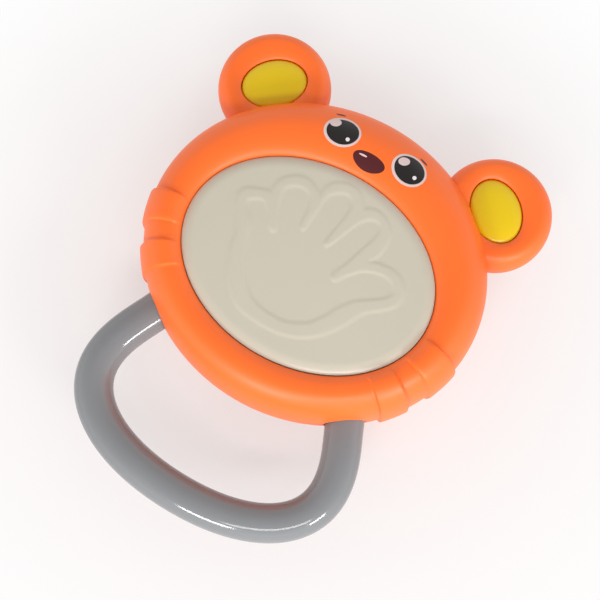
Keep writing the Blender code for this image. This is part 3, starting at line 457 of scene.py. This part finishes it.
HAND_RISE = 0.3
HAND_SLOPE = 1.5
HAMMER_R = 4.0
HAND_OUTSIDE = (
    (12.2, -23.7), (5.5, -26.4), (-1.0, -27.2), (-6.7, -27.1), (-13.1, -25.9), (-18.9, -21.6),
    (-24.0, -14.6), (-26.8, -7.9), (-27.6, -2.9), (-31.9, 4.0), (-34.2, 8.5), (-33.4, 11.8),
    (-30.0, 13.9), (-24.8, 15.9), (-24.8, 15.9), (-24.6, 19.7), (-22.8, 23.1), (-18.8, 26.0),
    (-14.3, 26.2), (-9.2, 23.7), (-9.2, 23.7), (-8.9, 27.3), (-6.6, 30.5), (-2.0, 32.4), (2.8, 31.5),
    (6.7, 27.3), (6.7, 27.3), (10.6, 29.1), (15.4, 28.1), (19.4, 24.4), (20.5, 18.4), (18.9, 12.3),
    (18.9, 12.3), (25.5, 13.5), (30.3, 12.5), (34.0, 9.3), (34.9, 4.8), (33.2, 1.2), (30.3, -1.6),
    (25.8, -5.7), (22.6, -12.0), (18.2, -18.6))
HAND_INSIDE = (
    (-9.6, -20.8), (-13.3, -18.2), (-16.7, -14.4), (-19.5, -10.3), (-22.1, -5.9), (-23.7, -1.9),
    (-24.6, 1.3), (-26.9, 4.1), (-29.2, 6.5), (-29.8, 8.7), (-28.0, 10.4), (-25.4, 11.4),
    (-22.9, 9.7), (-20.7, 7.1), (-19.1, 4.7), (-17.6, 3.5), (-16.3, 3.5), (-15.8, 4.8), (-16.9, 7.2),
    (-18.5, 10.0), (-19.8, 13.2), (-20.7, 16.4), (-20.8, 19.3), (-18.8, 21.4), (-15.8, 22.6),
    (-12.8, 21.9), (-11.0, 19.8), (-10.0, 16.4), (-9.7, 12.8), (-9.4, 10.2), (-8.1, 9.2), (-7.2, 10.3),
    (-7.1, 14.2), (-6.8, 18.4), (-6.8, 22.2), (-6.1, 25.1), (-3.6, 27.5), (-0.7, 28.6), (1.8, 27.4),
    (2.7, 24.4), (2.4, 19.8), (1.7, 14.6), (1.2, 10.8), (1.3, 9.0), (2.8, 8.9), (4.1, 11.6),
    (5.7, 16.0), (7.1, 20.0), (9.0, 23.2), (11.8, 25.3), (14.4, 24.9), (15.5, 22.0), (14.9, 18.2),
    (13.6, 13.9), (12.4, 9.6), (11.0, 5.5), (9.7, 2.3), (9.5, 0.0), (11.1, -0.8), (12.8, 1.3),
    (14.8, 4.0), (17.7, 7.1), (21.3, 9.0), (24.8, 9.8), (27.9, 9.4), (30.1, 7.8), (30.8, 5.5),
    (28.8, 2.7), (24.9, -0.2), (21.0, -3.1), (18.5, -6.1), (16.7, -8.9), (15.1, -12.2), (13.4, -15.0),
    (11.0, -18.0), (7.6, -20.2), (3.9, -21.8), (-0.6, -22.2), (-5.0, -22.0))


def inside_line(x, y, corners):
    """How far each point lies inside a smooth line through the corners, less than 0 outside."""
    knots = numpy.array(corners)
    before, after, next_but_one = (numpy.roll(knots, step, axis=0) for step in (1, -1, -2))
    line = []
    for share in numpy.linspace(0.0, 1.0, 4, endpoint=False):
        line.append(0.5 * (2 * knots + (after - before) * share
                           + (2 * before - 5 * knots + 4 * after - next_but_one) * share ** 2
                           + (3 * knots - before - 3 * after + next_but_one) * share ** 3))
    line = numpy.stack(line, axis=1).reshape(-1, 2)
    gap, inside = numpy.full(x.shape, 99.0), numpy.zeros(x.shape, bool)
    for (x0, y0), (x1, y1) in zip(line, numpy.roll(line, -1, axis=0)):
        length = (x1 - x0) ** 2 + (y1 - y0) ** 2
        if length == 0:
            continue
        along = numpy.clip(((x - x0) * (x1 - x0) + (y - y0) * (y1 - y0)) / length, 0.0, 1.0)
        gap = numpy.minimum(gap, numpy.hypot(x - x0 - along * (x1 - x0), y - y0 - along * (y1 - y0)))
        if y0 != y1:
            inside ^= ((y0 > y) != (y1 > y)) & (x < x0 + (y - y0) * (x1 - x0) / (y1 - y0))
    return numpy.where(inside, gap, -gap)


hammer = [(HAMMER_R, HAMMER_R, 0.0, z) for z in (CEILING_Z, FLANGE_FOOT_Z)]
drumhead = extrude_ovals("drum_plate", drum_ovals(60) + hammer, DRUM_COLUMNS)
hand = drumhead.vertex_groups.new(name="hand")
face = [point for point in drumhead.data.vertices if point.co.z > (DRUM_Z - 0.5) * MM]
x, y = (numpy.array([point.co[axis] / MM for point in face]) for axis in (0, 1))
outer, inner = (inside_line(x, y, line) / HAND_SLOPE + 0.5 for line in (HAND_OUTSIDE, HAND_INSIDE))
for point, on, off in zip(face, outer, inner):
    if on > 0 and off < 1:
        hand.add([point.index], ease(on) * (1 - ease(off)), "REPLACE")
only(drumhead)
lift = drumhead.modifiers.new("lift", "DISPLACE")
lift.vertex_group = "hand"
lift.direction = "Z"
lift.strength = HAND_RISE * MM
lift.mid_level = 0.0
bpy.ops.object.modifier_apply(modifier="lift")
drumhead.vertex_groups.clear()
close(drumhead)
smooth(drumhead)
finish(drumhead, CREAM, "cream_drumhead", "drum_pad", "front_drumhead")

# Ear buttons
# Two glossy yellow caps, long ovals set across each ear. Each is one moulding with a domed top,
# a side wall that slides in the ear's sleeve and a flange that stops it under the ear.

BUTTON_EDGE_Z = 6.2
BUTTON_RISE = 2.4
BUTTON_WALL = 1.7
BUTTON_FLANGE = 1.6
BUTTON_SLIT = 0.25
BUTTON_FLANGE_Z = 3.1
BUTTON_FOOT_Z = 1.8
BUTTON_CEILING_Z = 5.6

YELLOW = moulded_plastic("yellow_abs", (0.80, 0.56, 0.005), (0.78, 0.54, 0.004), 0.18, 0.08, 0.2)
for side, name in ((-1, "left"), (1, "right")):
    ovals = []
    for step in range(1, 25):
        turn = math.pi / 2 * step / 24
        share = math.sin(turn) ** ROUND
        ovals.append((BUTTON[0] * share, BUTTON[1] * share, 0.0,
                      BUTTON_EDGE_Z + BUTTON_RISE * max(0.0, math.cos(turn)) ** ROUND))
    for grow, z in ((0.0, BUTTON_FLANGE_Z), (BUTTON_FLANGE, BUTTON_FLANGE_Z),
                    (BUTTON_FLANGE, BUTTON_FOOT_Z), (-BUTTON_WALL, BUTTON_FOOT_Z),
                    (-BUTTON_WALL, BUTTON_CEILING_Z)):
        ovals.append((BUTTON[0] + grow, BUTTON[1] + grow, 0.0, z))
    button = close(extrude_ovals("ear_cap_" + name, ovals, EAR_COLUMNS), turn=side * EAR_TURN,
                   at=(side * EAR[0], EAR[1]))
    smooth(button)
    finish(button, YELLOW, "yellow_button", name + "_button", "ear_button_" + name)

# Handle
# A grey loop of hollow round tube, moulded in two halves that meet on the same line as the
# shells. Both ends sit in the head, where the lower case screws pass through them.

HANDLE_REACH = 91.0
HANDLE_WIDEST = (46.9, -63.5)
HANDLE_PULLS = (26.7, 17.5, 10.6, 9.1)
HANDLE_WALL = 2.0
HANDLE_POST_HOLE_R = 3.35


def handle_tube(name, radius, trim):
    """The handle's loop as a closed tube of that radius, its ends trimmed back."""
    into = (math.cos(HANDLE_AIM), math.sin(HANDLE_AIM))
    (mx, my), (wx, wy), (end, low, high, mouth) = HANDLE_MOUTH, HANDLE_WIDEST, HANDLE_PULLS
    tail = HANDLE_TAIL - trim
    right = [((0.0, -HANDLE_REACH), (-end, -HANDLE_REACH), (end, -HANDLE_REACH)),
             ((wx, wy), (wx, wy - low), (wx, wy + high)),
             ((mx, my), (mx - mouth * into[0], my - mouth * into[1]),
              (mx + tail / 3 * into[0], my + tail / 3 * into[1])),
             ((mx + tail * into[0], my + tail * into[1]),
              (mx + tail * 2 / 3 * into[0], my + tail * 2 / 3 * into[1]),
              (mx + tail * into[0], my + tail * into[1]))]
    left = [tuple((-x, y) for x, y in (knot, ahead, back))
            for knot, back, ahead in reversed(right[1:])]
    bpy.ops.object.select_all(action="DESELECT")
    bpy.ops.curve.primitive_bezier_curve_add()
    guide = bpy.context.object
    guide.name = name
    guide.data.dimensions = "3D"
    guide.data.resolution_u = 40
    guide.data.bevel_depth = radius * MM
    guide.data.bevel_resolution = 16
    guide.data.use_fill_caps = True
    spline = guide.data.splines[0]
    spline.bezier_points.add(len(left + right) - len(spline.bezier_points))
    for point, (knot, back, ahead) in zip(spline.bezier_points, left + right):
        point.handle_left_type = point.handle_right_type = "FREE"
        for name_of_end, (x, y) in (("co", knot), ("handle_left", back), ("handle_right", ahead)):
            where = (Vector((x, y, 0.0)) + Vector(WINDOW_MIDDLE)) * MM
            setattr(point, name_of_end, where)
    bpy.ops.object.convert(target="MESH")
    piece = bpy.context.object
    bpy.ops.object.mode_set(mode="EDIT")
    bpy.ops.mesh.select_all(action="SELECT")
    bpy.ops.mesh.remove_doubles(threshold=0.000001)
    bpy.ops.mesh.normals_make_consistent(inside=False)
    bpy.ops.object.mode_set(mode="OBJECT")
    return piece


GREY = moulded_plastic("grey_abs", (0.218, 0.222, 0.230), (0.208, 0.212, 0.220), 0.07, 0.06, 0.15)
for side, name in ((1, "front"), (-1, "rear")):
    piece = handle_tube("handle_" + name, HANDLE_R, 0.0)
    boolean(piece, [handle_tube("bore", HANDLE_R - HANDLE_WALL, HANDLE_WALL)])
    only(piece)
    bpy.ops.object.mode_set(mode="EDIT")
    bpy.ops.mesh.select_all(action="SELECT")
    bpy.ops.mesh.bisect(plane_co=(0.0, 0.0, (WINDOW_MIDDLE[2] + side * SEAM) * MM),
                        plane_no=(0.0, 0.0, side), use_fill=True, clear_inner=True)
    bpy.ops.object.mode_set(mode="OBJECT")
    boolean(piece, [rod("post", HANDLE_POST_HOLE_R, -9.0, 9.0, place) for place in places[-2:]])
    smooth(piece)
    finish(piece, GREY, "grey_handle", "body", f"handle_{name}_half")

# Front shell
# Front half of the head, the ears with it: one orange moulding with the drumhead's window, the
# two oval windows for the ear buttons and the raised grip bands low on both sides.

PILOT_R = 1.55
PILOT_TOP_Z = 7.6

front_shell = head_half("front_head_shell", False)
boolean(front_shell, [oval_plug("window", side, BUTTON_SLIT, 0.0, ABOVE) for side in (-1, 1)])
boolean(front_shell, [rod("bore", PILOT_R, -1.0, PILOT_TOP_Z, place, 24) for place in places])
smooth(front_shell)
finish(front_shell, ORANGE, "orange_shell", "body", "front_shell")

# Printed face
# Two eyes, two brow strokes and a nose, pad printed on the front shell between the ears. Each
# ink is a film a few hundredths of a millimetre thick that follows the shell.


def ink(name, light, dark):
    """Printed ink: a slightly uneven film with a soft shine."""
    return moulded_plastic(name, light, dark, 0.30, 0.12, 0.3)


PALE_INK = ink("pale_ink", (0.72, 0.56, 0.54), (0.66, 0.50, 0.48))
BLACK_INK = ink("black_ink", (0.013, 0.009, 0.009), (0.009, 0.006, 0.006))
BROWN_INK = ink("brown_ink", (0.085, 0.008, 0.010), (0.070, 0.005, 0.007))
WHITE_INK = ink("white_ink", (0.82, 0.74, 0.72), (0.78, 0.70, 0.68))
FILM = 0.03
EYES_APART = 27.5
FACE_SHIFT = -0.5
EYE_Y = 47.4
EYE_TILT = 15.0


def print_spot(name, material, layer, centre, size, tilt=0.0, taper=0.0):
    """One spot of ink: an oval, tapered if need be, laid down on the shell."""
    steps = max(2, round(size[1] / 0.5))
    ovals = [(size[0] * step / steps, size[1] * step / steps, 0.0, 0.0) for step in range(steps, 0, -1)]
    spot = extrude_ovals(name, ovals, 64)
    bpy.ops.object.mode_set(mode="EDIT")
    bpy.ops.mesh.edge_face_add()
    bpy.ops.object.mode_set(mode="OBJECT")
    only(spot)
    if taper:
        shape = spot.modifiers.new("taper", "SIMPLE_DEFORM")
        shape.deform_method = "TAPER"
        shape.deform_axis = "Y"
        shape.factor = taper
        bpy.ops.object.modifier_apply(modifier="taper")
    bpy.ops.object.mode_set(mode="EDIT")
    bpy.ops.mesh.select_all(action="SELECT")
    bpy.ops.transform.rotate(value=-math.radians(tilt), orient_axis="Z",
                             center_override=(0.0, 0.0, 0.0))
    bpy.ops.transform.translate(value=[(a + b) * MM for a, b in zip(WINDOW_MIDDLE, (*centre, 60.0))])
    bpy.ops.mesh.normals_make_consistent(inside=False)
    bpy.ops.object.mode_set(mode="OBJECT")
    lay = spot.modifiers.new("lay", "SHRINKWRAP")
    lay.target = front_shell
    lay.wrap_method = "PROJECT"
    lay.use_project_z = True
    lay.use_negative_direction = True
    lay.use_positive_direction = False
    lay.offset = FILM * layer * MM
    bpy.ops.object.modifier_apply(modifier="lay")
    film = spot.modifiers.new("film", "SOLIDIFY")
    film.thickness = 2 * FILM * MM
    film.offset = -1.0
    bpy.ops.object.modifier_apply(modifier="film")
    smooth(spot, 60)
    spot.data.materials.append(material)
    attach(spot, "body")
    return spot


for side, name in ((-1, "left"), (1, "right")):
    x, y = side * EYES_APART / 2 + FACE_SHIFT, EYE_Y
    print_spot(f"eye_{name}_white", PALE_INK, 1, (x, y), (6.8, 5.7), -side * EYE_TILT)
    print_spot(f"eye_{name}_black", BLACK_INK, 2, (x + 0.1, y + 0.1), (5.9, 4.85),
               -side * EYE_TILT)
    print_spot(f"eye_{name}_shine", PALE_INK, 3, (x - 3.5 + side * 0.4, y + 1.9), (2.1, 1.6),
               31)
    print_spot(f"eye_{name}_glint", WHITE_INK, 3, (x + 3.1, y - 1.6), (0.75, 0.75))
    print_spot(f"brow_{name}", BROWN_INK, 1, (x - 0.6 + side * 3.4, y + 6.0), (1.8, 0.38),
               -side * 18)
print_spot("nose", BROWN_INK, 1, (-0.6, 42.4), (6.2, 3.3), 0.0, 0.25)
print_spot("nose_shine", PALE_INK, 2, (-3.5, 43.7), (1.6, 0.35), 5)

# Case screws
# Six pan-headed screws at the bottom of the wells in the back, with a cross recess.

CASE_SCREW_TIP_Z = 7.0
CROSS_Z = -11.3
CROSS = (2.9, 0.6, 1.8)

screw = extrude_ovals("case_screw", [(r, r, 0.0, z) for r, z in (
    (0.6, -11.5), (1.5, -11.42), (2.2, -11.1), (2.55, -10.5), (2.6, -9.9), (2.6, -9.3), (1.25, -9.3),
    (1.25, 6.2), (0.5, CASE_SCREW_TIP_Z))], 32)
close(screw)
for turn in (0.0, math.pi / 2):
    bpy.ops.object.select_all(action="DESELECT")
    middle = (Vector(WINDOW_MIDDLE) + Vector((0.0, 0.0, CROSS_Z))) * MM
    bpy.ops.mesh.primitive_cube_add(size=MM, location=middle, rotation=(0.0, 0.0, turn),
                                    scale=CROSS)
    cutter = bpy.context.object
    bpy.ops.object.transform_apply(location=True, rotation=True, scale=True)
    boolean(screw, [cutter])
index = 0
for x, y in BOSSES:
    for side in (-1, 1):
        index += 1
        copy = screw.copy()
        copy.data = screw.data.copy()
        copy.name = f"case_screw_head_{index}"
        bpy.context.scene.collection.objects.link(copy)
        only(copy)
        bpy.ops.object.mode_set(mode="EDIT")
        bpy.ops.mesh.select_all(action="SELECT")
        bpy.ops.transform.translate(value=(side * x * MM, y * MM, 0.0))
        bpy.ops.object.mode_set(mode="OBJECT")
        smooth(copy)
        finish(copy, STEEL, "spring_steel", "body", f"case_screw_{index}")
bpy.data.objects.remove(screw)

# Floor, light and camera
# A pale table in a light tent: pale sides, darker overhead, two lamps low on the handle's side,
# left and right of the camera, and a longer one higher up between them.

bpy.ops.object.select_all(action="DESELECT")
bpy.ops.mesh.primitive_plane_add(size=6.0, location=(0.0, 0.0, -0.0002))
floor = bpy.context.object
floor.name = "floor"
paper = bpy.data.materials.new("white_paper")
paper.use_nodes = True
nodes, links = paper.node_tree.nodes, paper.node_tree.links
nodes["Principled BSDF"].inputs["Base Color"].default_value = (0.80, 0.77, 0.77, 1.0)
nodes["Principled BSDF"].inputs["Roughness"].default_value = 0.9
nodes["Principled BSDF"].inputs["Specular IOR Level"].default_value = 0.1
glow = nodes.new("ShaderNodeEmission")
path = nodes.new("ShaderNodeLightPath")
seen = nodes.new("ShaderNodeMath")
seen.operation = "MAXIMUM"
links.new(path.outputs["Is Camera Ray"], seen.inputs[0])
links.new(path.outputs["Is Glossy Ray"], seen.inputs[1])
seen_too = nodes.new("ShaderNodeMath")
seen_too.operation = "MAXIMUM"
links.new(seen.outputs["Value"], seen_too.inputs[0])
links.new(path.outputs["Is Transmission Ray"], seen_too.inputs[1])
# The floor's glow carries a painted halo: close round the drum it is weaker and pinker, painted shade
# and painted orange bounce light, and further out it glows plain white.
place = nodes.new("ShaderNodeTexCoord")
away = nodes.new("ShaderNodeVectorMath")
away.operation = "LENGTH"
links.new(place.outputs["Object"], away.inputs[0])
# Painted shade: within about 0.06 to 0.19 m of the drum the glow gives way to the lit floor colour, so
# the floor is painted darker round it even where nothing shades it.
painted_halo = nodes.new("ShaderNodeMapRange")
painted_halo.interpolation_type = "SMOOTHSTEP"
for socket, value in (("From Min", 0.06), ("From Max", 0.19), ("To Min", 0.58), ("To Max", 1.0)):
    painted_halo.inputs[socket].default_value = value
links.new(away.outputs["Value"], painted_halo.inputs["Value"])
# Painted bounce light: near the drum the glow is tinted pink, as if lit by the orange shell.
painted_bounce_tint = nodes.new("ShaderNodeValToRGB")
painted_bounce_tint.color_ramp.elements[0].position = 0.58
painted_bounce_tint.color_ramp.elements[0].color = (0.98, 0.945, 0.935, 1.0)
painted_bounce_tint.color_ramp.elements[1].color = (1.0, 1.0, 1.0, 1.0)
links.new(painted_halo.outputs["Result"], painted_bounce_tint.inputs["Fac"])
links.new(painted_bounce_tint.outputs["Color"], glow.inputs["Color"])
share = nodes.new("ShaderNodeMath")
share.operation = "MULTIPLY"
links.new(painted_halo.outputs["Result"], share.inputs[1])
links.new(seen_too.outputs["Value"], share.inputs[0])
mix = nodes.new("ShaderNodeMixShader")
links.new(share.outputs["Value"], mix.inputs["Fac"])
links.new(nodes["Principled BSDF"].outputs["BSDF"], mix.inputs[1])
links.new(glow.outputs["Emission"], mix.inputs[2])
links.new(mix.outputs["Shader"], nodes["Material Output"].inputs["Surface"])
floor.data.materials.append(paper)

tent = bpy.context.scene.world or bpy.data.worlds.new("light_tent")
bpy.context.scene.world = tent
tent.use_nodes = True
nodes, links = tent.node_tree.nodes, tent.node_tree.links
view = nodes.new("ShaderNodeTexCoord")
height = nodes.new("ShaderNodeSeparateXYZ")
walls = nodes.new("ShaderNodeValToRGB")
walls.color_ramp.elements[0].color = (1.32, 1.32, 1.32, 1.0)
walls.color_ramp.elements[0].position = 0.15
walls.color_ramp.elements[1].color = (0.38, 0.38, 0.38, 1.0)
walls.color_ramp.elements[1].position = 0.9
links.new(view.outputs["Generated"], height.inputs["Vector"])
links.new(height.outputs["Z"], walls.inputs["Fac"])
links.new(walls.outputs["Color"], nodes["Background"].inputs["Color"])
nodes["Background"].inputs["Strength"].default_value = 1.0


def lamp_box(name, where, size, watts):
    """A soft rectangular lamp that looks at the drum."""
    bpy.ops.object.light_add(type="AREA", location=where)
    lamp = bpy.context.object
    lamp.name = name
    lamp.data.shape = "RECTANGLE"
    lamp.data.size, lamp.data.size_y = size
    lamp.data.energy = watts
    look = Vector((0.0, 0.0, 0.02)) - Vector(where)
    lamp.rotation_euler = look.to_track_quat("-Z", "Y").to_euler()


lamp_box("right_lamp", (0.834, -0.372, 0.402), (0.26, 0.15), 3.0)
lamp_box("left_lamp", (0.084, -0.896, 0.435), (0.26, 0.15), 3.2)
lamp_box("front_lamp", (0.42, -0.60, 0.74), (0.70, 0.14), 3.2)

bpy.ops.object.camera_add(location=(0.05859, -0.09017, 0.52316))
camera = bpy.context.object
look = Vector((0.00437, -0.00084, 0.0342)) - camera.location
camera.rotation_euler = look.to_track_quat("-Z", "Y").to_euler()
camera.data.lens = 86.02
camera.data.sensor_width = 36.0
bpy.context.scene.camera = camera
bpy.context.scene.view_settings.view_transform = "Standard"
